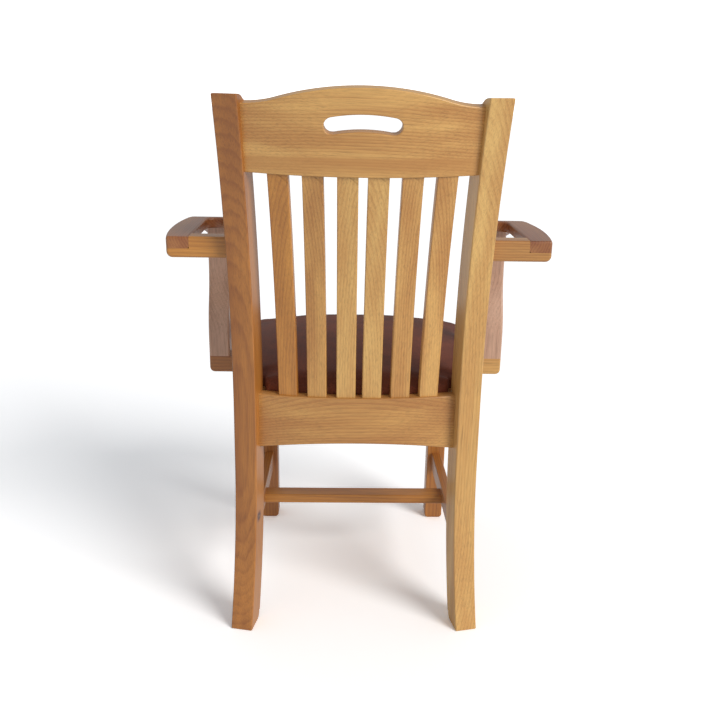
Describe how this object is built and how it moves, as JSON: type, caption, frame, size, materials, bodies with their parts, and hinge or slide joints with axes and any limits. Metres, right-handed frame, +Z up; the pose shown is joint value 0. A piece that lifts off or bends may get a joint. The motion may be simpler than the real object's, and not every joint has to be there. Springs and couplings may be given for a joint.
{
  "type": "armchair",
  "caption": "Wooden armchair with a slatted, bowed back, a hand slot in the top rail, open arms on curved supports and a padded leather seat.",
  "frame": {"origin": "on the floor under the middle of the chair's plan", "axes": "+Z up, +X towards the sitter's left, -Y the way the sitter faces"},
  "size_m": [0.668, 0.5477, 0.9843],
  "materials": {
    "wood": "satin lacquer",
    "plywood": "raw",
    "foam": "matt",
    "leather": "semi-matt",
    "steel": "zinc plated"
  },
  "bodies": {
    "root": {"rear_post_left": "wood", "rear_post_right": "wood", "top_rail": "wood", "lower_back_rail": "wood", "slat_1": "wood", "slat_2": "wood", "slat_3": "wood", "slat_4": "wood", "slat_5": "wood", "slat_6": "wood", "front_leg_left": "wood", "front_leg_right": "wood", "front_seat_rail": "wood", "side_seat_rail_left": "wood", "side_seat_rail_right": "wood", "side_stretcher_left": "wood", "side_stretcher_right": "wood", "cross_stretcher": "wood", "arm_rail_left": "wood", "arm_rail_right": "wood", "arm_crosspiece_left": "wood", "arm_crosspiece_right": "wood", "arm_support_left": "wood", "arm_support_right": "wood", "arm_block_left": "wood", "arm_block_right": "wood", "corner_blocks": "wood", "arm_dowels": "wood", "seat_board": "plywood", "seat_foam": "foam", "seat_cover": "leather", "frame_screws": "steel", "seat_screws": "steel", "arm_block_screws": "steel", "cover_staples": "steel"}
  },
  "joints": []
}
